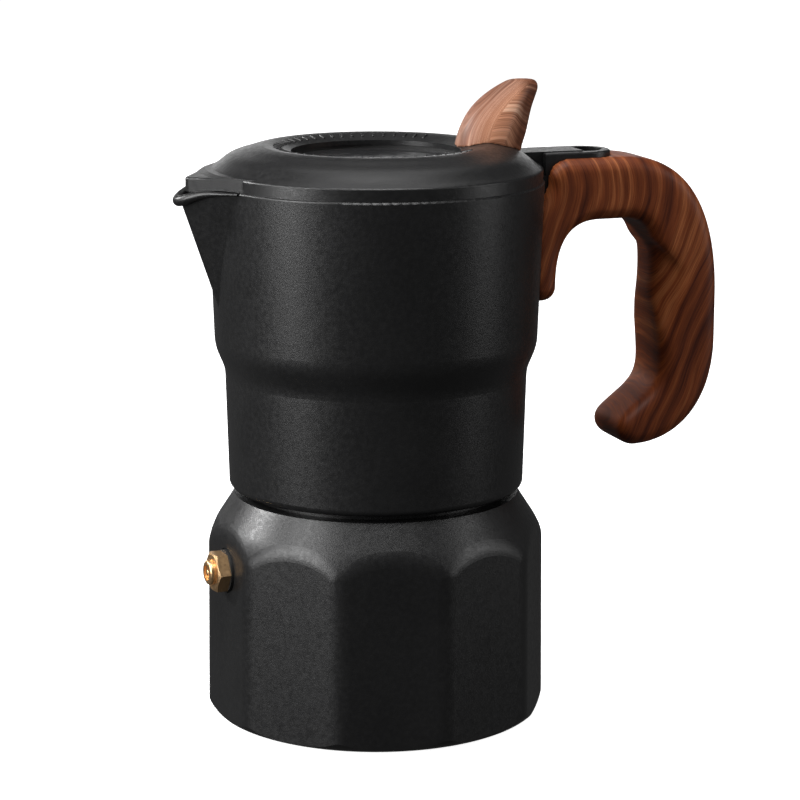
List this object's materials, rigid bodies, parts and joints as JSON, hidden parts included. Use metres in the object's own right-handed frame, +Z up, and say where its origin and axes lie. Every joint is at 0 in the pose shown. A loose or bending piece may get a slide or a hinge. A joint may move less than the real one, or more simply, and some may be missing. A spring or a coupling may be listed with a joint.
{
  "type": "moka pot",
  "caption": "Stove-top moka pot: faceted boiler with brass safety valve, stepped collector with spout, hinged lid with window, wood knob and handle.",
  "frame": {"origin": "centre of the boiler's base, on the surface the pot stands on", "axes": "+Z up along the pot's axis; +X toward the handle, -X toward the spout; the knob and the handle are centred on the XZ plane"},
  "size_m": [0.1353, 0.0818, 0.1526],
  "materials": {
    "coated_aluminium": "matte black, non-stick coated",
    "bare_aluminium": "satin",
    "steel": "satin",
    "brass": "polished",
    "silicone": "matte",
    "black_silicone": "matte",
    "smoked_window": "gloss",
    "wood": "satin"
  },
  "bodies": {
    "boiler": {"boiler_body": "coated_aluminium", "valve_body": "brass", "valve_washer": "black_silicone", "valve_spring": "steel", "valve_retainer": "brass"},
    "valve": {"valve_plunger": "brass"},
    "funnel": {"funnel_cup": "bare_aluminium", "funnel_tube": "bare_aluminium", "funnel_screen": "bare_aluminium"},
    "seal": {"gasket": "silicone", "filter_plate": "bare_aluminium"},
    "collector": {"collector_body": "coated_aluminium", "collector_column": "bare_aluminium", "hinge_pin": "steel", "handle_grip": "wood", "handle_screw": "steel", "handle_washer": "steel"},
    "lid": {"lid_shell": "coated_aluminium", "window_seal": "black_silicone", "window_pane": "smoked_window", "window_retainer": "black_silicone", "knob": "wood", "knob_screw": "steel", "knob_washer": "steel"}
  },
  "joints": [
    {"name": "collector_lift", "type": "slide", "parent": "boiler", "child": "seal", "axis": [0, 0, 1], "range_m": [0, 0.13]},
    {"name": "collector_turn", "type": "hinge", "parent": "seal", "child": "collector", "pos_m": [0, 0, 0.0693], "axis": [0, 0, 1], "range_deg": [0, 540]},
    {"name": "lid_hinge", "type": "hinge", "parent": "collector", "child": "lid", "pos_m": [0.0505, 0, 0.1323], "axis": [0, 1, 0], "range_deg": [0, 100]},
    {"name": "funnel_lift", "type": "slide", "parent": "boiler", "child": "funnel", "axis": [0, 0, 1], "range_m": [0, 0.065]},
    {"name": "valve_lift", "type": "slide", "parent": "boiler", "child": "valve", "axis": [-0.9951, -0.0993, 0], "range_m": [0, 0.0015], "stiffness_N_per_m": 400, "deforming": ["valve_spring"]}
  ],
  "couplings": [
    {"joint": "funnel_lift", "follows": "collector_lift", "ratio": 0.5}
  ]
}
